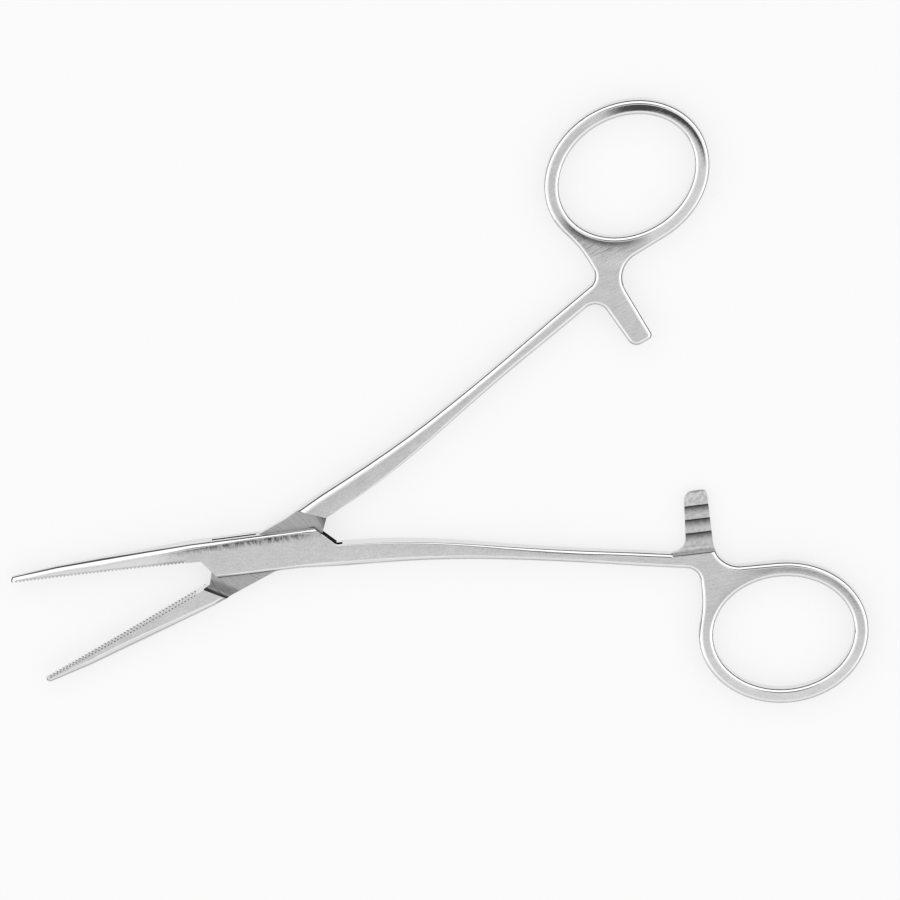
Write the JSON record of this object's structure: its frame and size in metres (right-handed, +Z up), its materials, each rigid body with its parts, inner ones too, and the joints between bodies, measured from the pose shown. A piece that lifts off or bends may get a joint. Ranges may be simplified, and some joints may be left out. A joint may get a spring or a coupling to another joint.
{
  "type": "hemostat forceps",
  "caption": "Straight box-lock hemostat with serrated tapering jaws, slender shanks, oval finger rings and a ratchet between the handles, shown half open.",
  "frame": {"origin": "joint axis, at the flat underside of the box", "axes": "+X along the box half's biting line towards the finger rings, +Y towards the male half's handle, +Z up along the joint axis"},
  "size_m": [0.1401, 0.1043, 0.0042],
  "materials": {
    "forged_steel": "satin",
    "pin_steel": "satin"
  },
  "bodies": {
    "box_half": {"box_half": "forged_steel", "joint_pin": "pin_steel"},
    "male_half": {"male_half": "forged_steel"}
  },
  "joints": [
    {"name": "box_lock", "type": "hinge", "parent": "box_half", "child": "male_half", "pos_m": [0, 0, 0.0021], "axis": [0, 0, 1], "range_deg": [-23.3, 60]}
  ]
}
